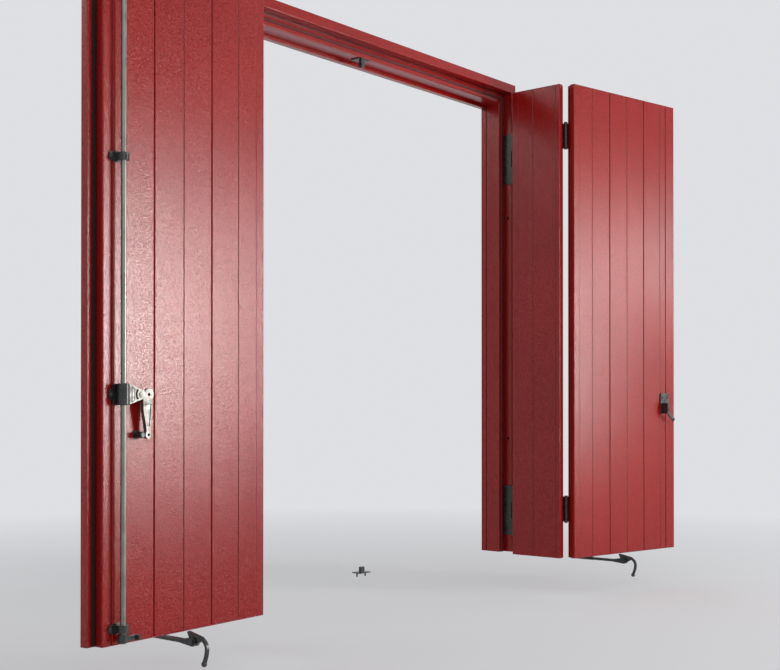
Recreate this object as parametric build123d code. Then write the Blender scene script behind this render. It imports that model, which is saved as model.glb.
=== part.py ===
from build123d import *
import os
from math import atan2, cos, degrees, radians, sin, tan

# A four-leaf folding shutter and its three-sided frame, shown folded open.
# Every leaf is first described closed, in its place in the frame, and then turned to its open place.
# X runs along the wall, Y into the wall, Z up. y = 0 is the frame's stop, which the closed leaves shut
# against, z = 0 is the foot of the jambs, and x = 0 is the middle of the opening.
# The functions give the right-hand side, with u the distance from the middle; the left side is its mirror.

# Boards and leaves
leaf_height = 1320.0
leaf_thick = 30.0
board = 75.0              # face width of one board; an extruded slat carries two
first_board = 53.0        # cut board beside the hinge stile of a wide leaf
last_board = 26.0         # cut board beside the closing stile
narrow_boards = (48.0, 66.0)
stile = 22.0
fold_line = 13.0          # fine groove near the fold edge of a narrow leaf
fold_rebate = 7.0         # street-side rebates at the fold, which make room for the hinge barrels
fold_rebate_deep = 15.0
closing_stile = 40.0
lip_width = 19.0          # overlapping lip of the left closing stile
lip_thick = 16.5
lip_proud = 6.0           # how far the lip stands out of the street-side face
skin = 1.8                # wall of the extrusions
cap_thick = 2.0
joint_half = 2.0          # half width and depth of the groove between two slats
joint_deep = 3.5
line_half = 1.2           # half width and depth of the fine groove in the middle of a slat
line_deep = 1.2
tongue = 6.0
tongue_half = 4.5
tongue_play = 0.2
edge_round = 1.5

# Gaps round the closed leaves
edge_gap = 6.0
fold_gap = 3.0
meeting_gap = 3.0
seal_gap = 3.0
foot_gap = 3.0            # the leaves hang this far below the foot of the jambs
head_gap = 8.0

# Frame
rebate_depth = 28.0
stop_depth = 45.0
stop_width = 24.0         # how far the stop stands in from the rebate
frame_face = 20.0
head_share = 1.25         # the head's section is this much wider than the jambs'
frame_wall = 2.0
frame_round = 2.0
trim_depth = 16.0
trim_set = 1.0            # the jamb's trim is set back from the stop's edge
trim_lip = 8.0            # the head's trim hangs below it
trim_joint = 0.3
shadow_gap = 2.0
shadow_deep = 4.0
gasket_width = 7.0
gasket_play = 0.3
slot_width = 3.0
slot_depth = 3.0
slot_centre = 12.0        # gasket slot, measured in from the rebate
key_leg = 70.0
key_width = 26.0
key_play = 0.3
fixing_radius = 4.0
fixing_from_ends = (330.0, 353.0)

# Jamb hinges, their plates in the gap beside the leaf
barrel_radius = 5.5
pin_radius = 3.0
pin_play = 0.05
pin_head_radius = 4.8
pin_head = 3.0
jamb_hinge_tall = 142.0
jamb_hinge_from_ends = (123.0, 184.0)
jamb_hinge_set = 12.0     # hinge axis, out from the leaf's edge
jamb_hinge_out = 2.0      # and out from its street-side face
leaf_barrel = 45.0        # height of the leaf's own barrel, in the middle
barrel_gap = 0.5
plate_thick = 2.5
plate_inset = 2.0
jamb_screw_rise = 57.0

# Fold hinges, screwed on the street-side faces with their axis in the plane of those faces
fold_hinge_tall = 70.0
fold_hinge_from_ends = (135.0, 140.0)
flap_thick = 3.0
flap_width = 40.0
fold_barrel = 23.0
fold_screw_rise = 24.0

# Screws
screw_radius = 2.0
screw_head_radius = 4.0
screw_head = 2.0
screw_long = 12.0
screw_play = 0.05
dome_radius = 3.6
dome_height = 2.4

# Tie rods through the boards
tie_radius = 3.0
tie_play = 0.15
tie_from_ends = (243.0, 237.0)
nut_across = 10.0
nut_thick = 4.0
nut_end = 0.8

# Opening angles at rest
narrow_open = 90.0
right_fold = 79.0
left_fold = 86.0

# Locking rod on the left wide leaf
rod_radius = 5.0
rod_stand = 15.0          # rod axis, in from the leaf's face
rod_from_edge = 34.0
rod_foot_gap = 0.6
rod_head_gap = 2.6
rod_play = 0.06
guide_from_ends = (30.0, 57.0)
middle_guide = 860.0
guide_tall = 17.5
guide_wide = 45.0
guide_plate = 3.0
guide_ring = 10.0
guide_screw_out = 17.0
hook_reach = 34.0
hook_thick = 9.0
hook_wide = 8.0
hook_collar_radius = 9.0
hook_collar_play = 0.35
hook_collar_tall = 14.9
hook_rise = 1.0
claw_wide = 6.5
claw_long = 10.5

# Handle
handle_height = 440.0
hub_radius = 11.0
hub_tall = 38.0
fork_thick = 12.0
fork_reach = 38.0         # lever pivot, out from the rod axis
fork_root_half = 18.0
fork_root = 9.5
pivot_round = 8.6
fork_slot = 5.6
fork_slot_back = 17.0
lever_tongue = 5.2
lever_thick = 8.0
lever_disc_out = 19.5     # from the pivot to the middle of the upper disc
lever_disc_radius = 11.0
lever_drop = 72.5         # from the disc to the eye
lever_lean = 1.0
lever_top_half = 11.5
lever_top_set = 2.4       # the arm's top lies this far in from the disc
lever_waist = 30.0        # below the disc
lever_foot_half = 5.5
lever_neck = 14.0
eye_radius = 7.0
eye_hole = 2.8
disc_hole = 3.0
rivet_radius = 3.0
back_plate_thick = 3.4
back_plate_wide = 27.0    # its taller middle
back_plate_tall = 37.0
back_plate_ears = 43.0    # across the ears that take the screws
back_plate_ear_tall = 20.0
back_plate_screw = 17.0
rest_radius = 5.8
rest_gap = 0.4            # between the rest and the hanging lever's eye

# Lever keeper on the right wide leaf
keeper_from_edge = (30.0, 67.5)
keeper_heights = (425.0, 458.0)
keeper_thick = 4.0
keeper_neck = (52.0, 60.0)
keeper_neck_foot = 398.0
finger_thick = 3.8
finger_gap = 0.6
finger_half = 4.0
finger_ball = 6.0
finger_tip = (31.0, 381.0)  # from the leaf's edge, and height

# Keepers of the hooks
catch_wide = 12.0
catch_gap = 0.6
catch_from_claw = 1.5
catch_from_guide = 0.8
sole_thick = 2.5
sole_play = 3.5
sole_wide = 40.0
sole_deep = 27.0
leaf_play = 2.0
meeting_seal = (1.0, 9.0)  # gasket on the lip, from the left leaf's room-side edge

# Holdbacks in the wall
holdback_place = {"left": 816.0, "right": 784.0}
arm_wide = 12.6
arm_tall = 7.0
arm_drop = 1.5            # middle of the arm, below the pivot
wall_face = -188.0        # the street face of the wall, where the arms come out
arm_start = 34.0
cheek_thick = 3.0
cheek_boss = 8.5
cheek_back = 14.0         # foot of the slot between the cheeks
stud_radius = 5.0
stud_long = 60.0
catch_thick = 6.0
catch_boss = 7.5
catch_pin_radius = 2.5
catch_head_radius = 4.5
catch_head = 2.4
nose_long = 21.5
nose_round = 2.5
nose_lean = 42.0          # how far the nose is pressed in at rest
nose_under = 0.6          # pressed nose, below the leaf
nose_gap = 0.6            # between the rising nose and the open leaf
shoulder = (-21.0, 7.5)   # outer end of the wedge, from the pivot
shoulder_round = 4.0
tail_points = ((-22.0, 7.5), (-35.0, -9.0), (-32.5, -25.0), (-27.5, -38.5))
tail_wide = 6.0
tail_ball = 5.6

# Places worked out from the sizes above
face_in = -seal_gap
face_out = face_in - leaf_thick
face_mid = (face_in + face_out) / 2
narrow_leaf = 2 * stile + sum(narrow_boards)
wide_leaf = stile + first_board + 4 * board + last_board + closing_stile
meeting_edge = -(lip_width - meeting_gap) / 2
half_rebate = edge_gap + narrow_leaf + fold_gap + wide_leaf + meeting_edge
narrow_edge = half_rebate - edge_gap
fold_edge = narrow_edge - narrow_leaf
wide_edge = fold_edge - fold_gap
jamb_axis = (narrow_edge + jamb_hinge_set, face_out - jamb_hinge_out)
fold_axis = (fold_edge - fold_gap / 2, face_out)
leaf_foot = -foot_gap
leaf_top = leaf_foot + leaf_height
rebate_top = leaf_top + head_gap
stop_under = rebate_top - stop_width * head_share
frame_top = rebate_top + frame_face * head_share
front_edge = meeting_edge + lip_width            # room-side edge of the left leaf
rod_u = front_edge + rod_from_edge
rod_y = face_in + rod_stand
pivot_u = rod_u + fork_reach
fold_angle = {"left": left_fold, "right": right_fold}


def from_ends(ends):
    """Heights above the jamb's foot of a lower and an upper fitting, set in from the ends of the leaf."""
    return leaf_foot + ends[0], leaf_top - ends[1]


jamb_hinge_heights = from_ends(jamb_hinge_from_ends)
fold_hinge_heights = from_ends(fold_hinge_from_ends)
tie_heights = from_ends(tie_from_ends)
fixing_heights = from_ends(fixing_from_ends)
low_guide, high_guide = from_ends(guide_from_ends)
guide_heights = (low_guide, middle_guide, high_guide)
hook_top = low_guide - guide_tall / 2 - hook_collar_play        # top of the lower hook's collar
hook_foot = high_guide + guide_tall / 2 + hook_collar_play      # foot of the upper hook's collar

nodes = {}


def rect(u0, u1, y0, y1):
    """Flat rectangle from corner to corner."""
    return Pos((u0 + u1) / 2, (y0 + y1) / 2) * Rectangle(abs(u1 - u0), abs(y1 - y0))


def upright(sketch, z0, z1):
    """Carry a plan outline up from z0 to z1."""
    return extrude(Pos(0, 0, z0) * sketch, amount=z1 - z0)


def block(u0, u1, y0, y1, z0, z1):
    return upright(rect(u0, u1, y0, y1), z0, z1)


def round_z(u, y, z0, z1, radius):
    return Pos(u, y, (z0 + z1) / 2) * Cylinder(radius, abs(z1 - z0))


def round_x(u0, u1, y, z, radius):
    return Pos((u0 + u1) / 2, y, z) * Rot(0, 90, 0) * Cylinder(radius, abs(u1 - u0))


def round_y(u, y0, y1, z, radius):
    return Pos(u, (y0 + y1) / 2, z) * Rot(90, 0, 0) * Cylinder(radius, abs(y1 - y0))


def outline(points):
    """Closed flat outline through the points."""
    return make_face(Polyline(*points, close=True))


def rounded(sketch, corners, radius):
    """Round the named corners of an outline."""
    wanted = {(round(a, 3), round(b, 3)) for a, b in corners}
    found = [v for v in sketch.vertices() if (round(v.X, 3), round(v.Y, 3)) in wanted]
    return fillet(found, radius)


def front_outline(sketch, y0, y1):
    """An outline drawn as seen from the room (u, z), carried from y0 to y1."""
    return extrude(Plane((0, y0, 0), (1, 0, 0), (0, -1, 0)) * sketch, amount=y0 - y1)


def side_outline(sketch, half):
    """An outline drawn as (y, z), carried both ways along X."""
    return extrude(Plane((0, 0, 0), (0, 1, 0), (1, 0, 0)) * sketch, amount=half, both=True)


def group(shapes):
    """Several separate solids in one node."""
    solids = []
    for shape in shapes:
        solids.extend(shape.solids())
    return Compound(solids)


def turned(shape, axis, angle):
    """Turn a shape about an upright axis."""
    return Pos(axis[0], axis[1]) * Rot(0, 0, angle) * Pos(-axis[0], -axis[1]) * shape


def opened(shape, body, side):
    """Carry a closed leaf's piece to where it stands open."""
    if body == "wide":
        shape = turned(shape, fold_axis, fold_angle[side])
    return turned(shape, jamb_axis, narrow_open)


def to_side(shape, side):
    return shape if side == "right" else mirror(shape, about=Plane.YZ)


def add(name, shape):
    nodes[name] = shape


def add_leaf(name, shapes, body, side):
    shape = group(shapes if isinstance(shapes, list) else [shapes])
    add(f"{side}_{body}_{name}", to_side(opened(shape, body, side), side))


def screw_solid(play=0.0):
    """Countersunk screw, head at the origin, pointing down -Z."""
    head = Pos(0, 0, -screw_head / 2) * Cone(screw_radius + play, screw_head_radius + play, screw_head)
    shank = Pos(0, 0, -screw_long / 2) * Cylinder(screw_radius + play, screw_long)
    return head + shank


def domed_screw():
    """Screw with a domed head that stands on its seat at the origin."""
    ball = (dome_radius**2 + dome_height**2) / (2 * dome_height)
    dome = Pos(0, 0, dome_height - ball) * Sphere(ball)
    head = dome & (Pos(0, 0, dome_height / 2) * Cylinder(dome_radius, dome_height))
    shank = Pos(0, 0, -screw_long / 2) * Cylinder(screw_radius, screw_long)
    return head + shank


# Ways that a screw points, by the direction in which its head looks
heads = {"+u": Rot(0, 90, 0), "-u": Rot(0, -90, 0), "+y": Rot(-90, 0, 0), "-y": Rot(90, 0, 0),
         "+z": Rot(0, 0, 0), "-z": Rot(180, 0, 0)}


def screws_at(places, looks, domed=False):
    kind = domed_screw() if domed else screw_solid()
    return [Pos(*place) * heads[looks] * kind for place in places]


def screw_holes(places, looks):
    return [Pos(*place) * heads[looks] * screw_solid(screw_play) for place in places]


def without(shape, tools):
    for tool in tools:
        shape = shape - tool
    return shape


# Boards and stiles

def bevel(u, y, way, cut):
    """Corner of a slat at u on the face y: a bevel that opens towards way, or a plain corner."""
    if not cut:
        return [(u, y)]
    deep = joint_deep if y == face_out else -joint_deep
    return [(u + way * joint_half, y), (u, y + deep)]


def slat_section(u_out, widths, grooved=True, tongued=True, bevels=(True, True)):
    """Hollow section of a slat: a groove at its outer edge, a tongue at its inner edge.

    The bevels, at the outer and the inner edge, make a V with the next slat; a stile is joined flush.
    """
    u_in = u_out - sum(widths)
    outer_bevel, inner_bevel = bevels
    points = bevel(u_in, face_out, 1, inner_bevel)
    if tongued:
        points += [(u_in, face_mid - tongue_half), (u_in - tongue, face_mid - tongue_half),
                   (u_in - tongue, face_mid + tongue_half), (u_in, face_mid + tongue_half)]
    points += bevel(u_in, face_in, 1, inner_bevel)[::-1]
    for k in range(1, len(widths)):
        u_line = u_in + sum(widths[len(widths) - k:])
        points += [(u_line - line_half, face_in), (u_line, face_in - line_deep), (u_line + line_half, face_in)]
    points += bevel(u_out, face_in, -1, outer_bevel)
    if grooved:
        wide = tongue_half + tongue_play
        deep = u_out - tongue - tongue_play
        points += [(u_out, face_mid + wide), (deep, face_mid + wide), (deep, face_mid - wide),
                   (u_out, face_mid - wide)]
    points += bevel(u_out, face_out, -1, outer_bevel)[::-1]
    for k in range(len(widths) - 1, 0, -1):
        u_line = u_out - sum(widths[:k])
        points += [(u_line + line_half, face_out), (u_line, face_out + line_deep),
                   (u_line - line_half, face_out)]
    return outline(points)


def cells(u_out, widths, grooved=True, tongued=True):
    """The hollow chambers inside a slat or stile, one behind each board."""
    found = []
    edge = u_out
    for k, width in enumerate(widths):
        high = edge - skin - (line_half if k else 0)
        low = edge - width + skin + (line_half if k < len(widths) - 1 else 0)
        if k == 0 and grooved:
            high = edge - tongue - tongue_play - skin
        if k == len(widths) - 1 and tongued:
            low = edge - width + joint_half + skin
        found.append(rect(low, high, face_out + skin + line_deep, face_in - skin - line_deep))
        edge -= width
    return found


def tie_holes(shape, u0, u1):
    """Holes for the tie rods, from u0 to u1."""
    return without(shape, [round_x(u0, u1, face_mid, z, tie_radius + tie_play) for z in tie_heights])


def rebated(shape, u_end, u_foot, wall=0.0):
    """Cut away the street-side corner of a section, from u_foot to its end."""
    foot = u_foot - wall if u_end > u_foot else u_foot + wall
    return shape - rect(foot, u_end, face_out, face_out + fold_rebate_deep + wall)


def slat(u_out, widths, bevels=(True, True)):
    section = slat_section(u_out, widths, bevels=bevels)
    section = without(section, cells(u_out, widths))
    shape = upright(section, leaf_foot + cap_thick, leaf_top - cap_thick)
    return tie_holes(shape, u_out + tongue, u_out - sum(widths) - 2 * tongue)


def outer_stile(u_out, rebate=0.0):
    """Stile with its tongue towards the boards and a hinge at its outer edge."""
    section = slat_section(u_out, (stile,), grooved=False, bevels=(False, False))
    section = rebated(section, u_out, u_out - rebate) if rebate else section
    section = rounded(section, [(u_out, face_in), (u_out - rebate, face_out)], edge_round)
    for cell in cells(u_out, (stile,), grooved=False):
        section -= rebated(cell, u_out, u_out - rebate, skin) if rebate else cell
    shape = upright(section, leaf_foot + cap_thick, leaf_top - cap_thick)
    return tie_holes(shape, u_out - stile / 2, u_out - stile - 2 * tongue)


def inner_stile(u_out, rebate):
    """Stile on the far side of the boards, which their tongue enters, with a fine groove on its room side."""
    u_in = u_out - stile
    section = slat_section(u_out, (stile,), tongued=False, bevels=(False, False))
    section = rebated(section, u_in, u_in + rebate)
    section = rounded(section, [(u_in, face_in), (u_in + rebate, face_out)], edge_round)
    for cell in cells(u_out, (stile,), tongued=False):
        section -= rebated(cell, u_in, u_in + rebate, skin)
    u_line = u_in + fold_line
    section -= outline([(u_line - line_half, face_in), (u_line, face_in - line_deep), (u_line + line_half, face_in)])
    shape = upright(section, leaf_foot + cap_thick, leaf_top - cap_thick)
    return tie_holes(shape, u_out + tongue, u_out - tongue - tongue_play - skin - 1)


def pocket_points(u):
    """The groove in a closing stile, from its street side to its room side."""
    wide = tongue_half + tongue_play
    deep = u - tongue - tongue_play
    return [(u, face_out + joint_deep), (u, face_mid - wide), (deep, face_mid - wide),
            (deep, face_mid + wide), (u, face_mid + wide), (u, face_in - joint_deep)]


closing_u = meeting_edge + closing_stile         # where the closing stiles meet the boards
lip_in = face_out - lip_proud + lip_thick        # room-side face of the lip
cell_out = closing_u - tongue - tongue_play - skin


def left_closing_section():
    """Stile stepped back to a lip that covers the edge of the other leaf."""
    lip_face = face_out - lip_proud
    slope = lip_proud
    points = [(closing_u - joint_half, face_out)] + pocket_points(closing_u)
    points += [(closing_u - joint_half, face_in), (front_edge, face_in), (front_edge, lip_in),
               (meeting_edge, lip_in), (meeting_edge, lip_face), (front_edge + slope, lip_face),
               (front_edge + 2 * slope, face_out)]
    section = outline(points)
    return rounded(section, [(front_edge, face_in), (meeting_edge, lip_in), (meeting_edge, lip_face)], edge_round)


def left_closing_stile():
    section = left_closing_section()
    section -= rect(front_edge + skin, cell_out, face_out + skin, face_in - skin - line_deep)
    section -= rect(meeting_edge + skin, front_edge - skin / 2, face_out - lip_proud + skin, lip_in - skin)
    shape = upright(section, leaf_foot + cap_thick, leaf_top - cap_thick)
    return tie_holes(shape, closing_u + 1, cell_out - 1)


def right_closing_section():
    """Stile with a thin tongue that shuts behind the lip of the left leaf."""
    step_u = front_edge                           # the lip reaches from its own front edge to the meeting edge
    points = [(closing_u - joint_half, face_out)] + pocket_points(closing_u)
    points += [(closing_u - joint_half, face_in), (meeting_edge, face_in), (meeting_edge, lip_in + leaf_play),
               (step_u, lip_in + leaf_play), (step_u, face_out)]
    section = outline(points)
    return rounded(section, [(meeting_edge, face_in), (meeting_edge, lip_in + leaf_play),
                             (step_u, face_out)], edge_round)


def right_closing_stile():
    section = right_closing_section()
    section -= rect(front_edge + skin, cell_out, face_out + skin, face_in - skin - line_deep)
    section -= rect(meeting_edge + skin, front_edge, lip_in + leaf_play + skin, face_in - skin - line_deep)
    shape = upright(section, leaf_foot + cap_thick, leaf_top - cap_thick)
    return tie_holes(shape, closing_u + 1, cell_out - 1)


def caps(section):
    """Flat caps on the top and bottom ends of a leaf."""
    return [upright(section, leaf_foot, leaf_foot + cap_thick), upright(section, leaf_top - cap_thick, leaf_top)]


def tie_rods(seat_out, seat_in):
    """Rods with a nut at each end, drawing the boards together; seats are the walls under the nuts."""
    found = []
    for z in tie_heights:
        found.append(round_x(seat_out + nut_thick + nut_end, seat_in - nut_thick - nut_end, face_mid, z, tie_radius))
        for u0, u1 in ((seat_out, seat_out + nut_thick), (seat_in - nut_thick, seat_in)):
            across = Rot(0, 0, 30) * RegularPolygon(nut_across / 2, 6, major_radius=False)
            nut = Pos(u0, face_mid, z) * Rot(0, 90, 0) * extrude(across, amount=u1 - u0)
            found.append(nut - round_x(u0 - 1, u1 + 1, face_mid, z, tie_radius))
    return found


# Hinges

def jamb_hinge_frame_half(z):
    """Plate on the rebate, with a barrel above and below the leaf's barrel."""
    u_plate = half_rebate
    y_neck = jamb_axis[1] + 1.0
    low, high = z - jamb_hinge_tall / 2, z + jamb_hinge_tall / 2
    inner = leaf_barrel / 2 + barrel_gap
    plate = block(u_plate - plate_thick, u_plate, -rebate_depth + 1, -plate_inset, low, high)
    for z0, z1 in ((low, z - inner), (z + inner, high)):
        neck = rect(u_plate - plate_thick, u_plate, y_neck - plate_thick, -rebate_depth + 2)
        neck += rect(u_plate - plate_thick, jamb_axis[0], y_neck - plate_thick, y_neck)
        neck += Pos(*jamb_axis) * Circle(barrel_radius)
        plate += upright(neck, z0, z1)
    plate -= round_z(*jamb_axis, low - 1, high + 1, pin_radius)
    return without(plate, screw_holes(jamb_plate_screws(z), "-u"))


def jamb_plate_screws(z):
    return [(half_rebate - plate_thick, -rebate_depth / 2, z + dz) for dz in (-jamb_screw_rise, jamb_screw_rise)]


def jamb_hinge_leaf_half(z):
    """Plate on the edge of the narrow leaf, wrapped round to the middle barrel."""
    low, high = z - jamb_hinge_tall / 2, z + jamb_hinge_tall / 2
    y_front = jamb_axis[1] - barrel_radius
    plate = block(narrow_edge, narrow_edge + plate_thick, face_out + plate_inset, face_in - plate_inset, low, high)
    neck = rect(narrow_edge, narrow_edge + plate_thick, y_front, face_out + 2 * plate_inset)
    neck += rect(narrow_edge, jamb_axis[0], y_front, y_front + plate_thick)
    neck += Pos(*jamb_axis) * Circle(barrel_radius)
    plate += upright(neck, z - leaf_barrel / 2, z + leaf_barrel / 2)
    plate -= round_z(*jamb_axis, low, high, pin_radius + pin_play)
    return without(plate, screw_holes(jamb_leaf_screws(z), "+u"))


def jamb_leaf_screws(z):
    return [(narrow_edge + plate_thick, face_mid, z + dz) for dz in (-jamb_screw_rise, jamb_screw_rise)]


def hinge_pin(axis, z, tall):
    """Pin with a head at each end."""
    pin = round_z(*axis, z - tall / 2 - pin_head, z + tall / 2 + pin_head, pin_radius)
    pin += round_z(*axis, z - tall / 2 - pin_head, z - tall / 2, pin_head_radius)
    return pin + round_z(*axis, z + tall / 2, z + tall / 2 + pin_head, pin_head_radius)


def fold_flap_screws(u_edge, way, z):
    return [(u_edge + way * flap_width * 0.65, face_out - flap_thick, z + dz)
            for dz in (-fold_screw_rise, fold_screw_rise)]


def fold_half(u_edge, way, z, spans, play):
    """Flap on a street-side face with the barrels in the given height spans."""
    low, high = z - fold_hinge_tall / 2, z + fold_hinge_tall / 2
    near = fold_axis[0] + way * (barrel_radius + 0.6)
    far = u_edge + way * flap_width
    flap = block(near, far, face_out - flap_thick, face_out, low, high)
    for z0, z1 in spans:
        neck = rect(u_edge, near, face_out - flap_thick, face_out) + Pos(*fold_axis) * Circle(barrel_radius)
        flap += upright(neck, z0, z1)
    flap -= round_z(*fold_axis, low - 1, high + 1, pin_radius + play)
    return without(flap, screw_holes(fold_flap_screws(u_edge, way, z), "-y"))


def fold_narrow_half(z):
    inner = fold_barrel / 2 + barrel_gap
    ends = fold_hinge_tall / 2
    return fold_half(fold_edge, 1, z, [(z - ends, z - inner), (z + inner, z + ends)], 0.0)


def fold_wide_half(z):
    return fold_half(wide_edge, -1, z, [(z - fold_barrel / 2, z + fold_barrel / 2)], pin_play)


# Narrow leaves

def narrow_leaf_nodes(side):
    u = narrow_edge
    edge_holes = [s for z in jamb_hinge_heights for s in screw_holes(jamb_leaf_screws(z), "+u")]
    fold_holes = [s for z in fold_hinge_heights for s in screw_holes(fold_flap_screws(fold_edge, 1, z), "-y")]
    boards_out = u - stile
    fold_stile_out = boards_out - sum(narrow_boards)
    add_leaf("jamb_stile", without(outer_stile(u), edge_holes), "narrow", side)
    boards = slat(boards_out, narrow_boards, bevels=(False, False))
    add_leaf("slat", without(boards, fold_holes), "narrow", side)
    add_leaf("fold_stile", without(inner_stile(fold_stile_out, fold_rebate), fold_holes), "narrow", side)
    ends = rebated(rect(fold_edge, u, face_out, face_in), fold_edge, fold_edge + fold_rebate)
    corners = [(u, face_in), (u, face_out), (fold_edge, face_in), (fold_edge + fold_rebate, face_out)]
    add_leaf("end_caps", caps(rounded(ends, corners, edge_round)), "narrow", side)
    seat_in = fold_stile_out - tongue - tongue_play - skin
    seat_out = boards_out + joint_half + skin
    add_leaf("tie_rods", tie_rods(seat_out, seat_in), "narrow", side)
    add_leaf("hinge_halves", [jamb_hinge_leaf_half(z) for z in jamb_hinge_heights]
             + [fold_narrow_half(z) for z in fold_hinge_heights], "narrow", side)
    add_leaf("fold_pins", [hinge_pin(fold_axis, z, fold_hinge_tall) for z in fold_hinge_heights], "narrow", side)
    found = []
    for z in jamb_hinge_heights:
        found += screws_at(jamb_leaf_screws(z), "+u")
    for z in fold_hinge_heights:
        found += screws_at(fold_flap_screws(fold_edge, 1, z), "-y")
    add_leaf("screws", found, "narrow", side)


# Wide leaves

def wide_section(side):
    """Plan outline of a whole wide leaf, for its caps."""
    closing = left_closing_section() if side == "left" else right_closing_section()
    plain = rect(closing_u - joint_half - 1, wide_edge, face_out, face_in)
    plain = rebated(plain, wide_edge, wide_edge - fold_rebate)
    plain = rounded(plain, [(wide_edge, face_in), (wide_edge - fold_rebate, face_out)], edge_round)
    filled = closing + rect(cell_out, closing_u, face_out, face_in)
    return plain + filled


def guide_screw_places():
    return [(rod_u + du, face_in + guide_plate, z) for z in guide_heights
            for du in (-guide_screw_out, guide_screw_out)]


def back_plate_screw_places():
    return [(rod_u + du, face_in + back_plate_thick, handle_height)
            for du in (-back_plate_screw, back_plate_screw)]


def wide_leaf_nodes(side):
    u = wide_edge
    flap_holes = [s for z in fold_hinge_heights for s in screw_holes(fold_flap_screws(wide_edge, -1, z), "-y")]
    shank = screw_radius + screw_play
    room_places = (guide_screw_places() + back_plate_screw_places()) if side == "left" else keeper_screw_places()
    room_holes = [round_y(a, face_in + 1, face_in - screw_long, z, shank) for a, _, z in room_places]
    first_out = u - stile
    second_out = first_out - first_board - board
    third_out = second_out - 2 * board
    add_leaf("hinge_stile", outer_stile(u, fold_rebate), "wide", side)
    first_slat = slat(first_out, (first_board, board), bevels=(False, True))
    add_leaf("slat_1", without(first_slat, flap_holes), "wide", side)
    add_leaf("slat_2", slat(second_out, (board, board)), "wide", side)
    add_leaf("slat_3", without(slat(third_out, (board, last_board)), room_holes), "wide", side)
    closing = left_closing_stile() if side == "left" else right_closing_stile()
    add_leaf("closing_stile", without(closing, room_holes), "wide", side)
    add_leaf("end_caps", caps(wide_section(side)), "wide", side)
    add_leaf("tie_rods", tie_rods(first_out + joint_half + skin, cell_out), "wide", side)
    add_leaf("hinge_halves", [fold_wide_half(z) for z in fold_hinge_heights], "wide", side)
    found = []
    for z in fold_hinge_heights:
        found += screws_at(fold_flap_screws(wide_edge, -1, z), "-y")
    found += screws_at(room_places, "+y", domed=True)
    add_leaf("screws", found, "wide", side)


def rod_guides():
    """Brackets on the boards in which the rod turns."""
    found = []
    for z in guide_heights:
        low, high = z - guide_tall / 2, z + guide_tall / 2
        plate = SlotOverall(guide_wide, guide_tall)
        shape = front_outline(Pos(rod_u, z) * plate, face_in + guide_plate, face_in)
        saddle = rect(rod_u - guide_ring, rod_u + guide_ring, face_in, rod_y)
        saddle += Pos(rod_u, rod_y) * Circle(guide_ring)
        shape += upright(saddle, low + 2, high - 2)
        shape -= round_z(rod_u, rod_y, low - 1, high + 1, rod_radius + rod_play)
        for place in ((rod_u - guide_screw_out, z), (rod_u + guide_screw_out, z)):
            shape -= round_y(place[0], face_in - 1, face_in + guide_plate + 1, place[1], screw_radius + screw_play)
        found.append(shape)
    return found


def handle_back_plate():
    """Plate on the boards behind the hub of the handle."""
    plate = RectangleRounded(back_plate_wide, back_plate_tall, 3.0)
    plate += RectangleRounded(back_plate_ears, back_plate_ear_tall, 4.0)
    shape = front_outline(Pos(rod_u, handle_height) * plate, face_in + back_plate_thick, face_in)
    for du in (-back_plate_screw, back_plate_screw):
        shape -= round_y(rod_u + du, face_in - 1, face_in + back_plate_thick + 1, handle_height,
                         screw_radius + screw_play)
    return shape


def lever_rest():
    """Peg on the boards that the eye of the hanging lever leans against, with a round foot plate."""
    u = pivot_u + lever_disc_out - lever_lean - eye_radius - rest_gap - rest_radius
    z = handle_height - lever_drop
    peg = round_y(u, face_in, rod_y + lever_thick / 2, z, rest_radius)
    edges = peg.faces().sort_by(Axis.Y)[-1].edges()
    return chamfer(edges, 1.5) + round_y(u, face_in, face_in + 2.0, z, rest_radius + 2.5)


def meeting_gasket():
    """Strip on the room side of the lip, which the right leaf closes on."""
    return block(front_edge - meeting_seal[1], front_edge - meeting_seal[0], lip_in, lip_in + leaf_play - 0.4,
                 leaf_foot + cap_thick, leaf_top - cap_thick)


# Locking rod, hooks and handle: drawn with the rod unlocked, hooks and lever towards the hinges

def locking_rod():
    return round_z(rod_u, rod_y, rod_foot_gap, stop_under - rod_head_gap, rod_radius)


def hook(z0, z1, arm_z0, arm_z1):
    """Collar on the rod with an arm and a claw that closes round a keeper."""
    shape = round_z(rod_u, rod_y, z0, z1, hook_collar_radius)
    arm = rect(rod_u, rod_u + hook_reach, rod_y - hook_wide / 2, rod_y + hook_wide / 2)
    arm += rect(rod_u + hook_reach - claw_wide, rod_u + hook_reach, rod_y, rod_y + claw_long)
    tip_u = rod_u + hook_reach
    arm = rounded(arm, [(tip_u, rod_y + claw_long), (tip_u - claw_wide, rod_y + claw_long)], 2.5)
    arm = rounded(arm, [(tip_u, rod_y - hook_wide / 2)], 6.0)
    shape += upright(arm, arm_z0, arm_z1)
    return shape - round_z(rod_u, rod_y, z0 - 1, z1 + 1, rod_radius)


def hooks():
    low_foot = hook_top - hook_collar_tall
    high_top = hook_foot + hook_collar_tall
    lower = hook(low_foot, hook_top, low_foot + hook_rise, low_foot + hook_rise + hook_thick)
    upper = hook(hook_foot, high_top, high_top - hook_rise - hook_thick, high_top - hook_rise)
    return [lower, upper]


def hub():
    shape = round_z(rod_u, rod_y, handle_height - hub_tall / 2, handle_height + hub_tall / 2, hub_radius)
    shape = chamfer(shape.edges(), 1.0)
    return shape - round_z(rod_u, rod_y, handle_height - hub_tall, handle_height + hub_tall, rod_radius)


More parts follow.
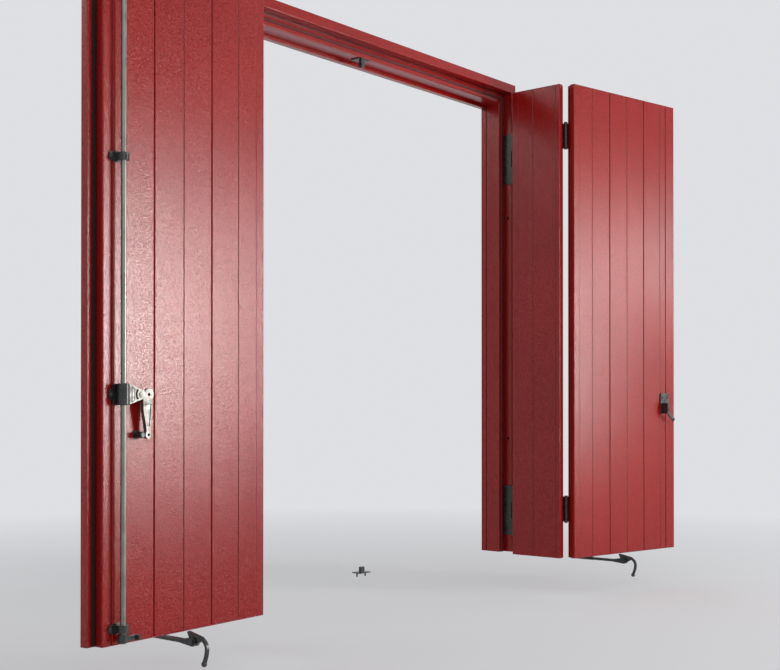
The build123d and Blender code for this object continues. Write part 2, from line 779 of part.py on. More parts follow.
def fork_outline():
    """Trapezoid from the hub, narrowing to the round end about the lever's pivot, drawn round the pivot."""
    root = fork_reach - fork_root
    slope = atan2(fork_root_half - pivot_round, root)
    side = [(-root, -fork_root_half), (pivot_round * sin(slope), -pivot_round * cos(slope)),
            (pivot_round * sin(slope), pivot_round * cos(slope)), (-root, fork_root_half)]
    return outline(side) + Circle(pivot_round)


def fork():
    y0, y1 = rod_y - fork_thick / 2, rod_y + fork_thick / 2
    place = Pos(pivot_u, handle_height)
    shape = front_outline(place * fork_outline(), y1, y0)
    shape -= round_z(rod_u, rod_y, handle_height - hub_tall, handle_height + hub_tall, hub_radius)
    slot = rect(-fork_slot_back, 3 * pivot_round, -hub_tall, hub_tall)
    shape -= front_outline(place * slot, rod_y + fork_slot / 2, rod_y - fork_slot / 2)
    ring = Circle(fork_slot_back - 2.5) - Circle(pivot_round + 1.8)
    window = ring & outline([(-25, -13), (-4, -7.2), (-4, 7.2), (-25, 13)])
    shape -= front_outline(place * window, y1 + 1, rod_y)
    root = fork_reach - fork_root
    panel = outline([(-root + 6, -13), (-17.5, -9.5), (-17.5, 9.5), (-root + 6, 13)])
    edge = offset(panel, 1.4) - panel
    shape -= front_outline(place * edge, y1 + 1, y1 - 1.0)
    shape -= round_y(pivot_u, y0 - 1, y1 + 1, handle_height, rivet_radius)
    return shape


def fork_rivet():
    y0, y1 = rod_y - fork_thick / 2, rod_y + fork_thick / 2
    shape = round_y(pivot_u, y0 - 1.2, y1 + 1.2, handle_height, rivet_radius)
    for a, b in ((y0 - 1.2, y0), (y1, y1 + 1.2)):
        shape += round_y(pivot_u, a, b, handle_height, rivet_radius + 2.2)
    return shape


def lever():
    """Cast lever: tongue in the fork, upper disc, tapering arm with a raised rim, and an eye at its foot."""
    out = lever_disc_out
    disc = Pos(out, 0) * Circle(lever_disc_radius)
    eye_u, eye_z = out - lever_lean, -lever_drop
    left, right = out - lever_top_set - lever_top_half, out - lever_top_set + lever_top_half
    arm = outline([(left, 0), (right, 0), (right - 1.5, -lever_waist),
                   (eye_u + lever_foot_half, eye_z + lever_neck), (eye_u + 4.2, eye_z),
                   (eye_u - 4.2, eye_z), (eye_u - lever_foot_half, eye_z + lever_neck),
                   (left + 1.0, -lever_waist)])
    body = disc + arm + Pos(eye_u, eye_z) * Circle(eye_radius)
    body -= Circle(pivot_round + 1.2)
    place = Pos(pivot_u, handle_height)
    y0, y1 = rod_y - lever_thick / 2, rod_y + lever_thick / 2
    shape = front_outline(place * body, y1, y0)
    panel = outline([(left + 3.5, -17), (right - 3.5, -17), (right - 5.0, -lever_waist),
                     (eye_u + 2.6, eye_z + lever_neck + 2), (eye_u - 2.6, eye_z + lever_neck + 2),
                     (left + 4.0, -lever_waist)])
    for a, b in ((y1 + 1, y1 - 1.2), (y0 + 1.2, y0 - 1)):
        shape -= front_outline(place * panel, a, b)
    root = Circle(pivot_round) + outline([(0, -pivot_round), (out, -lever_disc_radius + 2),
                                          (out, lever_disc_radius - 2), (0, pivot_round)])
    shape += front_outline(place * root, rod_y + lever_tongue / 2, rod_y - lever_tongue / 2)
    shape -= round_y(pivot_u, y0 - 1, y1 + 1, handle_height, rivet_radius + pin_play)
    shape -= round_y(pivot_u + out, y0 - 1, y1 + 1, handle_height, disc_hole)
    shape -= round_y(pivot_u + eye_u, y0 - 1, y1 + 1, handle_height + eye_z, eye_hole)
    return shape


# Lever keeper on the right leaf

def keeper_screw_places():
    u0, u1 = (meeting_edge + d for d in keeper_from_edge)
    z = sum(keeper_heights) / 2
    return [(u0 + 7.5, face_in + keeper_thick, z + 4), (u1 - 7.5, face_in + keeper_thick, z + 4)]


def lever_keeper():
    """Plate with a bent arm whose round finger end laps the hanging lever once the rod is locked."""
    u0, u1 = (meeting_edge + d for d in keeper_from_edge)
    z0, z1 = keeper_heights
    plate = RectangleRounded(u1 - u0, z1 - z0, 6)
    shape = front_outline(Pos((u0 + u1) / 2, (z0 + z1) / 2) * plate, face_in + keeper_thick, face_in)
    finger_y = rod_y + lever_thick / 2 + finger_gap
    n0, n1 = (meeting_edge + d for d in keeper_neck)
    shape += block(n0, n1, face_in, finger_y + finger_thick, keeper_neck_foot, z0 + 4)
    tip_u, tip_z = meeting_edge + finger_tip[0], finger_tip[1]
    knee_u, knee_z = (n0 + n1) / 2, keeper_neck_foot + finger_half
    run = Pos(knee_u, knee_z) * Circle(finger_half) + Pos(tip_u, tip_z) * Circle(finger_half)
    shape += front_outline(make_hull(run.edges()), finger_y + finger_thick, finger_y)
    ball = Pos(tip_u, finger_y, tip_z) * Sphere(finger_ball)
    far = 2 * finger_ball
    shape += ball - block(tip_u - far, tip_u + far, finger_y - far, finger_y, tip_z - far, tip_z + far)
    for place in keeper_screw_places():
        shape -= round_y(place[0], face_in - 1, face_in + keeper_thick + 1, place[2], screw_radius + screw_play)
    return shape


# Frame

def frame_outline(share):
    """Outline of the frame in (distance out from the rebate, y)."""
    face, stop = frame_face * share, stop_width * share
    return [(0, -rebate_depth), (face, -rebate_depth), (face, stop_depth), (-stop, stop_depth), (-stop, 0), (0, 0)]


def frame_section(share=1.0):
    """Hollow frame extrusion: rebate leg, stop, and a slot for the gasket."""
    face, stop, slot = frame_face * share, stop_width * share, -slot_centre * share
    section = outline(frame_outline(share))
    section = rounded(section, [(0, -rebate_depth), (face, -rebate_depth), (-stop, 0), (-stop, stop_depth)],
                      frame_round)
    section -= rect(frame_wall, face - frame_wall, -rebate_depth + frame_wall, -frame_wall / 2)
    section -= rect(-stop + frame_wall, face - frame_wall, slot_depth + frame_wall, stop_depth - frame_wall)
    return section - rect(slot - slot_width / 2, slot + slot_width / 2, 0, slot_depth)


def trim_section(inner, stop):
    """Hollow strip behind the frame, set off by a shadow gap from the stop's back edge."""
    y0, y1 = stop_depth, stop_depth + shadow_gap + trim_depth
    section = rect(inner, 0, y0 + shadow_gap, y1) + rect(stop + shadow_deep, 0, y0, y0 + shadow_gap)
    return section - rect(inner + frame_wall, -frame_wall, y0 + shadow_gap + frame_wall, y1 - frame_wall)


def gasket_section(share=1.0):
    """Rounded seal with a foot in the slot."""
    slot, front = -slot_centre * share, -seal_gap + gasket_play
    low, high = slot - gasket_width / 2, slot + gasket_width / 2
    bulb = rounded(rect(low, high, front, 0), [(low, front), (high, front)], 2.2)
    return bulb + rect(slot - slot_width / 2, slot + slot_width / 2, 0, slot_depth - gasket_play)


def mitre(points):
    """Block, drawn as (x, z), that keeps one member's side of the mitres."""
    return extrude(Plane.XZ * outline(points), amount=200, both=True)


def jamb_run(section):
    """The section as the right-hand jamb, cut to its mitre."""
    shape = upright(Pos(half_rebate, 0) * section, 0, frame_top)
    reach = 2 * (frame_face + stop_width)
    rise = reach * head_share
    keep = mitre([(half_rebate - reach, -1), (half_rebate + reach, -1), (half_rebate + reach, rebate_top + rise),
                  (half_rebate - reach, rebate_top - rise)])
    return shape & keep


def along_head(section, half):
    """The section laid along the head, with its outer side up."""
    return Pos(0, 0, rebate_top) * Rot(0, -90, 0) * Pos(0, 0, -half) * extrude(section, amount=2 * half)


def head_run(section):
    """The section as the head, cut to both mitres."""
    reach = 2 * (frame_face + stop_width)
    rise = reach * head_share
    wide, slim = half_rebate + reach, half_rebate - reach
    keep = mitre([(-wide, rebate_top + rise), (wide, rebate_top + rise), (slim, rebate_top - rise),
                  (-slim, rebate_top - rise)])
    return along_head(section, half_rebate + frame_face) & keep


def trim_strips():
    """Strips behind the jambs, butted under the one behind the head, which hangs lower than its stop."""
    stop = stop_width * head_share
    under = rebate_top - stop - trim_lip - trim_joint
    side = upright(Pos(half_rebate, 0) * trim_section(-stop_width + trim_set, -stop_width), 0, under)
    return group([side, to_side(side, "left"), along_head(trim_section(-stop - trim_lip, -stop), half_rebate)])


def right_jamb():
    shape = jamb_run(frame_section())
    for z in fixing_heights:
        shape -= round_x(half_rebate - 1, half_rebate + frame_face + 1, -rebate_depth / 2, z, fixing_radius)
    for z in jamb_hinge_heights:
        shape = without(shape, screw_holes(jamb_plate_screws(z), "-u"))
    return shape


def head_rail():
    return without(head_run(frame_section(head_share)), screw_holes(head_keeper_screws(), "-z"))


def corner_key():
    """Angle inside the mitre that joins jamb and head."""
    play = frame_wall + key_play
    inner = frame_wall + 2
    y0 = slot_depth + frame_wall + (stop_depth - slot_depth - 2 * frame_wall - key_width) / 2
    corner_u = half_rebate + frame_face - play
    corner_z = rebate_top + frame_face * head_share - play
    shape = block(half_rebate + inner, corner_u, y0, y0 + key_width, corner_z - key_leg, corner_z)
    return shape + block(corner_u - key_leg, corner_u, y0, y0 + key_width, rebate_top + inner, corner_z)


# Keepers of the hooks: x = -u, because they stand at the left leaf's edge

claw_x = -rod_u + hook_reach - claw_wide         # near side of the claw once locked
catch_x = claw_x - catch_from_claw               # inner side of the upright catch
catch_y = rod_y - hook_wide / 2 - catch_gap
sole_x = -rod_u + hook_collar_radius + 0.5


def sole_screws(z):
    return [(catch_x - catch_wide / 2, sole_deep * 0.7, z), (sole_x + sole_wide - 6, sole_deep * 0.45, z)]


def sill_keeper():
    """Sole on the sill with an upright catch behind which the lower hook closes."""
    sole = block(sole_x, sole_x + sole_wide, -seal_gap + leaf_play, sole_deep - 1, 0, sole_thick)
    top = hook_top - catch_from_guide
    upright_catch = block(catch_x - catch_wide, catch_x, -seal_gap + leaf_play, catch_y, 0, top)
    upright_catch = fillet(upright_catch.faces().sort_by(Axis.Z)[-1].edges(), 1.5)
    return without(sole + upright_catch, screw_holes(sole_screws(sole_thick), "+z"))


def head_keeper_screws():
    return sole_screws(stop_under - sole_thick)


def head_keeper():
    """The same keeper, hanging from the stop of the head."""
    z = stop_under
    sole = block(sole_x, sole_x + sole_wide, slot_depth, sole_deep + slot_depth, z - sole_thick, z)
    foot = hook_foot + catch_from_guide
    hanger = block(catch_x - catch_wide, catch_x, -seal_gap + leaf_play, catch_y, foot, z - sole_thick / 4)
    hanger = fillet(hanger.faces().sort_by(Axis.Z)[0].edges(), 1.5)
    return without(sole + hanger, screw_holes(head_keeper_screws(), "-z"))


# Holdbacks: an arm that comes out of the wall under the open leaf, and a catch that tips on its end

def open_face_y(side):
    """Where the room-side face of the open wide leaf lies at the holdback."""
    dx, dy = fold_axis[0] - jamb_axis[0], fold_axis[1] - jamb_axis[1]
    turn = radians(narrow_open)
    u = jamb_axis[0] + dx * cos(turn) - dy * sin(turn)
    y = jamb_axis[1] + dx * sin(turn) + dy * cos(turn)
    turn = radians(narrow_open + fold_angle[side])
    off = face_in - fold_axis[1]
    u -= off * sin(turn)
    y += off * cos(turn)
    return y + (holdback_place[side] + catch_thick / 2 - u) * tan(turn)


holdback_z = leaf_foot - nose_under - nose_long * cos(radians(nose_lean)) - nose_round


def holdback_y(side):
    """Far enough out for the nose to rise in front of the open leaf."""
    sweep = nose_long * sin(radians(nose_lean)) + nose_round
    return open_face_y(side) - sweep - nose_gap


def at_holdback(shape, side):
    return to_side(Pos(holdback_place[side], holdback_y(side), holdback_z) * shape, side)


def holdback_arm(side):
    """Flat arm with a forked end; its stud is set in the wall."""
    arm_long = wall_face - holdback_y(side)
    low, high = -arm_drop - arm_tall / 2, -arm_drop + arm_tall / 2
    shape = side_outline(rect(arm_start - 1, arm_long, low, high), arm_wide / 2)
    shape = chamfer(shape.edges().filter_by(Axis.Y), 1.0)
    cheek = make_hull((Circle(cheek_boss) + rect(arm_start - 4, arm_start, low, high)).edges())
    shape += side_outline(cheek, arm_wide / 2)
    slot = rect(-2 * cheek_boss, cheek_back, -2 * cheek_boss, 2 * cheek_boss)
    shape -= side_outline(slot, arm_wide / 2 - cheek_thick)
    shape += round_y(0, arm_long, arm_long + stud_long, -arm_drop, stud_radius)
    return shape - round_x(-arm_wide, arm_wide, 0, 0, catch_pin_radius)


def holdback_pin():
    half = arm_wide / 2
    shape = round_x(-half - catch_head, half + catch_head, 0, 0, catch_pin_radius)
    for a, b in ((-half - catch_head, -half), (half, half + catch_head)):
        shape += round_x(a, b, 0, 0, catch_head_radius)
    return shape


def holdback_catch():
    """Tipping catch: wedge nose above the pivot, curved tail with a ball below; nose pressed in at rest."""
    lean = radians(nose_lean)
    tip = (nose_long * sin(lean), nose_long * cos(lean))
    nose = Circle(catch_boss) + Pos(*tip) * Circle(nose_round) + Pos(*shoulder) * Circle(shoulder_round)
    shape = side_outline(make_hull(nose.edges()), catch_thick / 2)
    tail = trace([Spline(*tail_points)], tail_wide)
    shape += side_outline(tail, catch_thick / 2)
    shape += Pos(0, *tail_points[-1]) * Sphere(tail_ball)
    return shape - round_x(-catch_thick, catch_thick, 0, 0, catch_pin_radius + pin_play)


# All the nodes

def build():
    jamb = right_jamb()
    add("right_jamb", jamb)
    add("left_jamb", to_side(jamb, "left"))
    add("head_rail", head_rail())
    add("corner_keys", group([corner_key(), to_side(corner_key(), "left")]))
    seal = jamb_run(gasket_section())
    add("stop_gaskets", group([seal, to_side(seal, "left"), head_run(gasket_section(head_share))]))
    add("trim_strips", trim_strips())

    halves = [jamb_hinge_frame_half(z) for z in jamb_hinge_heights]
    pins = [hinge_pin(jamb_axis, z, jamb_hinge_tall) for z in jamb_hinge_heights]
    screws = [s for z in jamb_hinge_heights for s in screws_at(jamb_plate_screws(z), "-u")]
    add("jamb_hinge_halves", group(halves + [to_side(h, "left") for h in halves]))
    add("jamb_hinge_pins", group(pins + [to_side(p, "left") for p in pins]))
    keeper_screws = screws_at(sole_screws(sole_thick), "+z") + screws_at(head_keeper_screws(), "-z")
    add("frame_screws", group(screws + [to_side(s, "left") for s in screws] + keeper_screws))
    add("head_keeper", head_keeper())
    add("sill_keeper", sill_keeper())

    for side in ("left", "right"):
        narrow_leaf_nodes(side)
        wide_leaf_nodes(side)
        add(f"{side}_holdback_arm", at_holdback(holdback_arm(side), side))
        add(f"{side}_holdback_catch", at_holdback(holdback_catch(), side))
    add("holdback_pins", group([at_holdback(holdback_pin(), side) for side in ("left", "right")]))

    on_left_leaf = (("rod_brackets", rod_guides() + [handle_back_plate()]),
                    ("lever_rest", [lever_rest()]), ("meeting_gasket", [meeting_gasket()]),
                    ("locking_rod", [locking_rod()]), ("rod_hooks", hooks()), ("handle_hub", [hub()]),
                    ("handle_fork", [fork()]), ("fork_rivet", [fork_rivet()]), ("handle_lever", [lever()]))
    for name, shapes in on_left_leaf:
        add(name, to_side(opened(group(shapes), "wide", "left"), "left"))
    add("lever_keeper", opened(lever_keeper(), "wide", "right"))


build()
os.makedirs("parts", exist_ok=True)
for node_name, node_shape in nodes.items():
    export_step(node_shape, f"parts/{node_name}.step")

# Where the joints and mounts lie, for the record
open_fold = turned(Pos(*fold_axis) * Vertex(0, 0, 0), jamb_axis, narrow_open).center()
print("nodes", len(nodes))
print("jamb axis", jamb_axis, "fold axis open", (open_fold.X, open_fold.Y))
for side in ("left", "right"):
    print(side, "holdback pivot y", holdback_y(side), "z", holdback_z)
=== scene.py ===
import math

import bpy
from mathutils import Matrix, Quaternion, Vector

# Folding window shutter: finishes for the red boards and their hardware, in a plain studio.
# Every shape is the CAD's own. Metres, degrees and linear colours throughout.

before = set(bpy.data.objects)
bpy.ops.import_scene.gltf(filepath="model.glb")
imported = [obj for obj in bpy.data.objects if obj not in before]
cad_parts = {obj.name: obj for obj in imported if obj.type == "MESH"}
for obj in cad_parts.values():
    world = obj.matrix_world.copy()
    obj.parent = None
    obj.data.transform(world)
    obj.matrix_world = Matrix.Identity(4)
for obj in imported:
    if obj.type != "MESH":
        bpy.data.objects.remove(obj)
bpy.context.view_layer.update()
print("frame loaded:", len(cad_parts), "pieces")


# Node graphs

graphBasics = {
    "latticeTurn": (0.61, 0.35, 0.87),  # radians; it keeps every face out of the noise's lattice
    "roundingSamples": 4,
    "hollowSamples": 8,
    "hollowRange": (0.50, 0.95),        # how open a place is, from shut in to free
}


class Graph:
    def __init__(self, name):
        self.material = bpy.data.materials.new(name)
        self.material.use_nodes = True
        self.tree = self.material.node_tree
        self.tree.nodes.clear()
        self.output = self.make("OutputMaterial")

    def make(self, kind):
        return self.tree.nodes.new("ShaderNode" + kind)

    def put(self, socket, value):  # another node's output is linked, and a number or colour is set
        if hasattr(value, "is_output"):
            self.tree.links.new(value, socket)
        else:
            socket.default_value = value

    def node(self, kind, **inputs):
        made = self.make(kind)
        for name, value in inputs.items():
            self.put(made.inputs[name], value)
        return made

    def coords(self):  # the piece's own coordinates, turned
        place = self.make("TexCoord")
        turned = self.node("Mapping", Vector=place.outputs["Object"], Rotation=graphBasics["latticeTurn"])
        return turned.outputs["Vector"]

    def noise(self, vector, size, detail, roughness):  # size of one grain in metres
        made = self.node("TexNoise", Vector=vector, Scale=1.0 / size, Detail=detail, Roughness=roughness)
        return made.outputs["Fac"]

    def remap(self, value, toRange, fromRange):  # clipped at both ends
        made = self.make("MapRange")
        made.clamp = True
        self.put(made.inputs["Value"], value)
        for name, number in zip(("From Min", "From Max", "To Min", "To Max"), (*fromRange, *toRange)):
            made.inputs[name].default_value = number
        return made.outputs["Result"]

    def maths(self, operation, first, second):
        made = self.make("Math")
        made.operation = operation
        self.put(made.inputs[0], first)
        self.put(made.inputs[1], second)
        return made.outputs["Value"]

    def blend(self, share, first, second):  # share 0 gives the first colour, 1 the second
        made = self.make("Mix")
        made.data_type = "RGBA"
        self.put(made.inputs["Factor"], share)
        for name, colour in (("A", first), ("B", second)):
            self.put(made.inputs[name], colour if hasattr(colour, "is_output") else (*colour, 1.0))
        return made.outputs["Result"]

    def rounded(self, radius):  # normals that turn smoothly round sharp edges
        made = self.node("Bevel", Radius=radius)
        made.samples = graphBasics["roundingSamples"]
        return made.outputs["Normal"]

    def hollowShade(self, size, share):  # painted shade: 0 in the open, rising to share where the piece shuts itself in
        made = self.node("AmbientOcclusion", Distance=size)
        made.samples = graphBasics["hollowSamples"]
        made.only_local = True
        return self.remap(made.outputs["AO"], (share, 0.0), graphBasics["hollowRange"])

    def bump(self, height, strength, distance, normal):
        made = self.node("Bump", Height=height, Strength=strength, Distance=distance, Normal=normal)
        return made.outputs["Normal"]

    def finish(self, shader):
        self.tree.links.new(shader, self.output.inputs["Surface"])
        return self.material


# Red powder coat on the boards, the frame and the caps

redCoat = {
    "colour": (0.292, 0.0057, 0.0050),
    "paleColour": (0.345, 0.0085, 0.0069),
    "drift": {"size": 0.35, "detail": 2.0, "roughness": 0.5},      # from one to the other along a board
    "driftRange": (0.35, 0.65),

    "speckColour": (0.150, 0.0030, 0.0028),
    "specks": {"size": 0.0038, "detail": 2.0, "roughness": 0.6},   # darker and duller places
    "speckRange": (0.34, 0.56),
    "speckShare": 0.62,
    "specular": (0.18, 0.60),                                      # in the specks and between them
    "specularRange": (0.30, 0.70),
    "specularTint": (1.0, 0.975, 0.95),

    "peel": {"size": 0.0026, "detail": 1.0, "roughness": 0.45},    # the rounded grains of the orange peel
    "fine": {"size": 0.0016, "detail": 1.0, "roughness": 0.5},     # the finer grain on them
    "fineShare": 0.60,
    "bump": 0.80,
    "bumpHeight": 0.00036,
    "roughness": (0.25, 0.13),                                     # in the pits and on the grains
    "roughnessRange": (0.30, 0.65),

    # painted shade, darkest in grooves and inner corners
    "shadowColour": (0.050, 0.0015, 0.0012),
    "hollowSize": 0.008,
    "hollowShare": 0.90,
    "edgeRound": 0.0026,                                           # the coat rounds every sharp edge
}


def redPowderCoat(settings):
    # Peel and fine grain make the relief, specks darken and dull it, and painted shade in grooves and inner
    # corners makes them darkest.
    g = Graph("redCoat")
    vector = g.coords()
    drift = g.noise(vector, **settings["drift"])
    specks = g.noise(vector, **settings["specks"])
    peel = g.noise(vector, **settings["peel"])
    fine = g.noise(vector, **settings["fine"])

    clean = g.blend(g.remap(drift, (0.0, 1.0), settings["driftRange"]), settings["colour"], settings["paleColour"])
    speckCover = g.remap(specks, (settings["speckShare"], 0.0), settings["speckRange"])
    specked = g.blend(speckCover, clean, settings["speckColour"])
    hollow = g.hollowShade(settings["hollowSize"], settings["hollowShare"])
    height = g.maths("ADD", peel, g.maths("MULTIPLY", fine, settings["fineShare"]))
    edges = g.rounded(settings["edgeRound"])

    shader = g.node(
        "BsdfPrincipled",
        **{
            "Base Color": g.blend(hollow, specked, settings["shadowColour"]),
            "Roughness": g.remap(peel, settings["roughness"], settings["roughnessRange"]),
            "Specular IOR Level": g.remap(specks, settings["specular"], settings["specularRange"]),
            "Specular Tint": (*settings["specularTint"], 1.0),
            "Normal": g.bump(height, settings["bump"], settings["bumpHeight"], edges),
        },
    )
    return g.finish(shader.outputs["BSDF"])


# Iron, metals and rubber: a grain, slow patches of gloss, and a second colour where the two meet

mottle = {
    "grain": {"detail": 3.0, "roughness": 0.6},
    "grainShare": (0.25, 1.0),               # its part in the second colour
    "patch": {"detail": 2.0, "roughness": 0.5},
    "patchShare": (0.1, 1.0),
    "noiseRange": (0.3, 0.7),                # both noises are clipped to this
    # painted shade in hollows and inner corners
    "shadowColour": (0.018, 0.015, 0.012),
    "hollowSize": 0.006,
}

ironCoat = {
    "colour": (0.013, 0.015, 0.015),
    "secondColour": (0.048, 0.050, 0.048),
    "hollowShare": 0.6,
    "edgeRound": 0.0010,
    "grainSize": 0.0012,
    "patchSize": 0.016,
    "roughness": (0.20, 0.38),
    "metallic": 0.0,
    "specular": 0.50,
    "bump": 0.32,
    "bumpHeight": 0.00014,
}

rodSteel = {
    "colour": (0.165, 0.180, 0.150),
    "secondColour": (0.280, 0.295, 0.255),
    "hollowShare": 0.4,
    "edgeRound": 0.0005,
    "grainSize": 0.0016,
    "patchSize": 0.030,
    "roughness": (0.24, 0.40),
    "metallic": 0.90,
    "specular": 0.40,
    "bump": 0.18,
    "bumpHeight": 0.00007,
}

nickelPlate = {
    "colour": (0.40, 0.395, 0.36),
    "secondColour": (0.12, 0.118, 0.105),
    "hollowShare": 0.95,
    "edgeRound": 0.0008,
    "grainSize": 0.0016,
    "patchSize": 0.011,
    "roughness": (0.44, 0.60),
    "metallic": 1.0,
    "specular": 0.50,
    "bump": 0.26,
    "bumpHeight": 0.00012,
}

zincPlate = {
    "colour": (0.44, 0.44, 0.43),
    "secondColour": (0.28, 0.28, 0.28),
    "hollowShare": 0.6,
    "edgeRound": 0.0005,
    "grainSize": 0.0010,
    "patchSize": 0.012,
    "roughness": (0.28, 0.45),
    "metallic": 1.0,
    "specular": 0.50,
    "bump": 0.12,
    "bumpHeight": 0.00005,
}

millAlloy = {
    "colour": (0.62, 0.63, 0.65),
    "secondColour": (0.48, 0.49, 0.51),
    "hollowShare": 0.4,
    "edgeRound": 0.0005,
    "grainSize": 0.0009,
    "patchSize": 0.020,
    "roughness": (0.32, 0.48),
    "metallic": 1.0,
    "specular": 0.50,
    "bump": 0.10,
    "bumpHeight": 0.00004,
}

stopRubber = {
    "colour": (0.125, 0.020, 0.019),
    "secondColour": (0.085, 0.014, 0.013),
    "hollowShare": 0.4,
    "edgeRound": 0.0005,
    "grainSize": 0.0012,
    "patchSize": 0.015,
    "roughness": (0.50, 0.68),
    "metallic": 0.0,
    "specular": 0.30,
    "bump": 0.15,
    "bumpHeight": 0.00006,
}

lipRubber = {
    "colour": (0.020, 0.012, 0.012),
    "secondColour": (0.011, 0.007, 0.007),
    "hollowShare": 0.4,
    "edgeRound": 0.0005,
    "grainSize": 0.0012,
    "patchSize": 0.015,
    "roughness": (0.52, 0.70),
    "metallic": 0.0,
    "specular": 0.30,
    "bump": 0.15,
    "bumpHeight": 0.00006,
}


def grained(name, settings):
    # Painted shade darkens the colour where two faces of the piece come near each other.
    g = Graph(name)
    vector = g.coords()
    grain = g.noise(vector, settings["grainSize"], **mottle["grain"])
    patch = g.noise(vector, settings["patchSize"], **mottle["patch"])

    grainShare = g.remap(grain, mottle["grainShare"], mottle["noiseRange"])
    patchShare = g.remap(patch, mottle["patchShare"], mottle["noiseRange"])
    secondShare = g.maths("MULTIPLY", grainShare, patchShare)
    clean = g.blend(secondShare, settings["colour"], settings["secondColour"])
    hollow = g.hollowShade(mottle["hollowSize"], settings["hollowShare"])
    edges = g.rounded(settings["edgeRound"])

    shader = g.node(
        "BsdfPrincipled",
        **{
            "Base Color": g.blend(hollow, clean, mottle["shadowColour"]),
            "Roughness": g.remap(patch, settings["roughness"], mottle["noiseRange"]),
            "Metallic": settings["metallic"],
            "Specular IOR Level": settings["specular"],
            "Normal": g.bump(grain, settings["bump"], settings["bumpHeight"], edges),
        },
    )
    return g.finish(shader.outputs["BSDF"])


# Which finish each piece takes; the rest are red

finishes = {
    "ironCoat": (
        "rod_brackets", "lever_rest", "lever_keeper", "head_keeper", "sill_keeper", "rod_hooks", "handle_hub",
        "jamb_hinge_halves", "jamb_hinge_pins",
        "left_holdback_arm", "right_holdback_arm", "holdback_pins", "left_holdback_catch", "right_holdback_catch",
        "left_narrow_hinge_halves", "left_narrow_fold_pins", "right_narrow_hinge_halves", "right_narrow_fold_pins",
        "left_wide_hinge_halves", "right_wide_hinge_halves",
        "left_narrow_screws", "right_narrow_screws", "left_wide_screws", "right_wide_screws", "frame_screws",
    ),
    "rodSteel": ("locking_rod",),
    "nickelPlate": ("handle_fork", "fork_rivet", "handle_lever"),
    "zincPlate": ("left_narrow_tie_rods", "right_narrow_tie_rods", "left_wide_tie_rods", "right_wide_tie_rods"),
    "millAlloy": ("corner_keys",),
    "stopRubber": ("stop_gaskets",),
    "lipRubber": ("meeting_gasket",),
}


def dress(nodes):
    made = {
        "redCoat": redPowderCoat(redCoat),
        "ironCoat": grained("ironCoat", ironCoat),
        "rodSteel": grained("rodSteel", rodSteel),
        "nickelPlate": grained("nickelPlate", nickelPlate),
        "zincPlate": grained("zincPlate", zincPlate),
        "millAlloy": grained("millAlloy", millAlloy),
        "stopRubber": grained("stopRubber", stopRubber),
        "lipRubber": grained("lipRubber", lipRubber),
    }
    finishOf = {name: finish for finish, names in finishes.items() for name in names}
    for name, piece in nodes.items():
        for place in piece.material_slots:
            place.material = made[finishOf.get(name, "redCoat")]


# Camera at the photograph's angle

view = {
    "place": (-2.3593, -2.0254, 0.4178),
    "pitch": 0.378,
    "yaw": 39.676,
    "focalPixels": 1231.1,
    "horizonPixel": 398.76,
    "picture": (780, 670),
    "sensor": 36.0,          # millimetres
}


def makeCamera(settings):
    wide, high = settings["picture"]
    data = bpy.data.cameras.new("photoCamera")
    data.sensor_width = settings["sensor"]
    data.lens = settings["focalPixels"] / wide * settings["sensor"]
    data.shift_y = (settings["horizonPixel"] - high / 2) / wide
    camera = bpy.data.objects.new("photoCamera", data)
    camera.location = settings["place"]
    camera.rotation_euler = (math.radians(90 + settings["pitch"]), 0.0, math.radians(settings["yaw"] - 90))
    bpy.context.scene.collection.objects.link(camera)
    bpy.context.scene.camera = camera


# Lamps: the key's sheen lies across the left leaves and the side lamp's across the right ones.
# The front and back lamps are broad and weak, and open up the shadows.

lamps = {
    "keyLamp": {
        "place": (2.10, -3.48, 0.86),
        "aim": (-3.0, -0.50, 0.86),
        "size": (0.92, 1.42),
        "roll": 28.0,
        "power": 100.0,
        "colour": (1.0, 0.99, 0.98),
    },
    "sideLamp": {
        "place": (3.35, -3.25, 1.26),
        "aim": (0.8, -0.3, 0.8),
        "size": (0.75, 0.50),
        "roll": 0.0,
        "power": 12.5,
        "colour": (1.0, 0.98, 0.96),
    },
    "frontLamp": {
        "place": (-3.0, -3.9, 2.2),
        "aim": (0.0, -0.1, 0.62),
        "size": (2.0, 2.0),
        "roll": 0.0,
        "power": 22.0,
        "colour": (1.0, 1.0, 1.0),
    },
    "backLamp": {
        "place": (-3.3, 2.3, 2.85),
        "aim": (0.0, -0.1, 0.62),
        "size": (1.5, 1.0),
        "roll": 0.0,
        "power": 12.0,
        "colour": (0.98, 0.99, 1.0),
    },
}


def makeLamps(settings):
    for name, lamp in settings.items():
        data = bpy.data.lights.new(name, "AREA")
        data.shape = "RECTANGLE"
        data.size, data.size_y = lamp["size"]
        data.energy = lamp["power"]
        data.color = lamp["colour"]
        piece = bpy.data.objects.new(name, data)
        piece.location = lamp["place"]
        aim = Vector(lamp["aim"]) - Vector(lamp["place"])
        roll = Quaternion((0.0, 0.0, 1.0), math.radians(lamp["roll"]))
        piece.rotation_euler = (aim.to_track_quat("-Z", "Y") @ roll).to_euler()
        bpy.context.scene.collection.objects.link(piece)


# Floor and backdrop

studio = {
    "floorLevel": -0.11,
    "floorSize": 30.0,
    "floorColour": (0.80, 0.805, 0.815),
    "fadeShare": (0.40, 1.0),                # the backdrop's share in the floor, beside the object and far off
    "fadeRange": (1.0, 3.4),                 # distances from the origin between which it grows
    "backdropColour": (0.735, 0.742, 0.765),
    "backdropLight": 1.0,
    "worldColour": (0.97, 0.985, 1.0),
    "worldLight": 0.46,
}


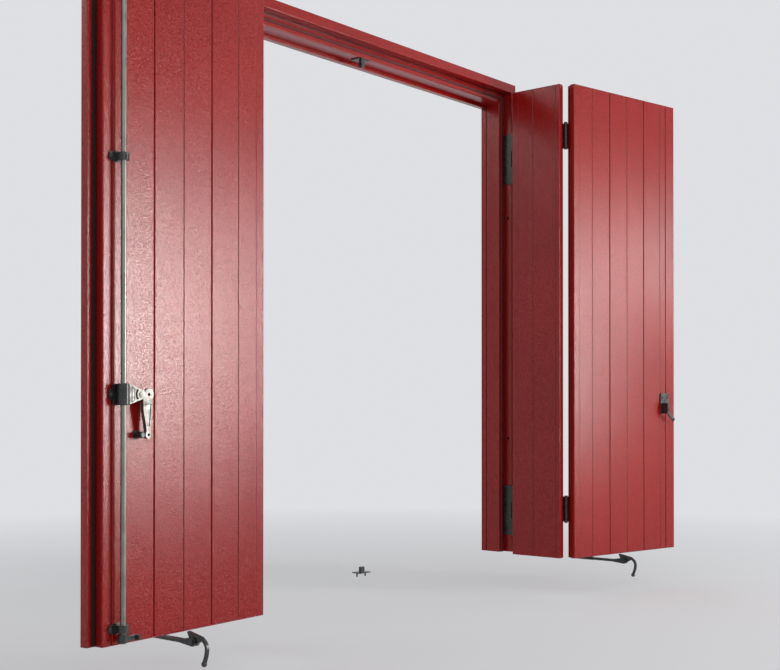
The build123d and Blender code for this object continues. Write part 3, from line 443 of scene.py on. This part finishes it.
def floorMaterial(settings):
    # Matt for the lamps and the shadows; to the camera and in gloss it fades into the backdrop with distance.
    g = Graph("floorPaint")
    place = g.make("TexCoord")
    length = g.make("VectorMath")
    length.operation = "LENGTH"
    g.tree.links.new(place.outputs["Object"], length.inputs[0])
    far = g.remap(length.outputs["Value"], settings["fadeShare"], settings["fadeRange"])
    path = g.make("LightPath")
    seen = g.maths("MAXIMUM", path.outputs["Is Camera Ray"], path.outputs["Is Glossy Ray"])
    matt = g.node("BsdfDiffuse", Color=(*settings["floorColour"], 1.0))
    glow = g.node("Emission", Color=(*settings["backdropColour"], 1.0), Strength=settings["backdropLight"])
    mix = g.make("MixShader")
    g.tree.links.new(g.maths("MULTIPLY", far, seen), mix.inputs["Fac"])
    g.tree.links.new(matt.outputs["BSDF"], mix.inputs[1])
    g.tree.links.new(glow.outputs["Emission"], mix.inputs[2])
    return g.finish(mix.outputs["Shader"])


def makeFloor(settings):
    half = settings["floorSize"] / 2
    corners = [(-half, -half, 0.0), (half, -half, 0.0), (half, half, 0.0), (-half, half, 0.0)]
    mesh = bpy.data.meshes.new("floor")
    mesh.from_pydata(corners, [], [(0, 1, 2, 3)])
    floor = bpy.data.objects.new("floor", mesh)
    floor.location = (0.0, 0.0, settings["floorLevel"])
    bpy.context.scene.collection.objects.link(floor)
    mesh.materials.append(floorMaterial(settings))


def makeWorld(settings):
    # Even light on the object, and the pale backdrop wherever the camera or a reflection looks past it
    world = bpy.data.worlds.new("studio")
    bpy.context.scene.world = world
    world.use_nodes = True
    tree = world.node_tree
    tree.nodes.clear()
    make = tree.nodes.new
    link = tree.links.new

    light = make("ShaderNodeBackground")
    light.inputs["Color"].default_value = (*settings["worldColour"], 1.0)
    light.inputs["Strength"].default_value = settings["worldLight"]
    backdrop = make("ShaderNodeBackground")
    backdrop.inputs["Color"].default_value = (*settings["backdropColour"], 1.0)
    backdrop.inputs["Strength"].default_value = settings["backdropLight"]

    path = make("ShaderNodeLightPath")
    clear = make("ShaderNodeMath")
    clear.operation = "MAXIMUM"
    link(path.outputs["Is Glossy Ray"], clear.inputs[0])
    link(path.outputs["Is Transmission Ray"], clear.inputs[1])
    seen = make("ShaderNodeMath")
    seen.operation = "MAXIMUM"
    link(path.outputs["Is Camera Ray"], seen.inputs[0])
    link(clear.outputs["Value"], seen.inputs[1])

    mix = make("ShaderNodeMixShader")
    link(seen.outputs["Value"], mix.inputs["Fac"])
    link(light.outputs["Background"], mix.inputs[1])
    link(backdrop.outputs["Background"], mix.inputs[2])
    link(mix.outputs["Shader"], make("ShaderNodeOutputWorld").inputs["Surface"])


bpy.context.scene.view_settings.view_transform = "Standard"
makeCamera(view)
makeLamps(lamps)
print("camera and lamps placed")
makeFloor(studio)
makeWorld(studio)
print("studio made")
dress(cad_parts)
print("pieces dressed")
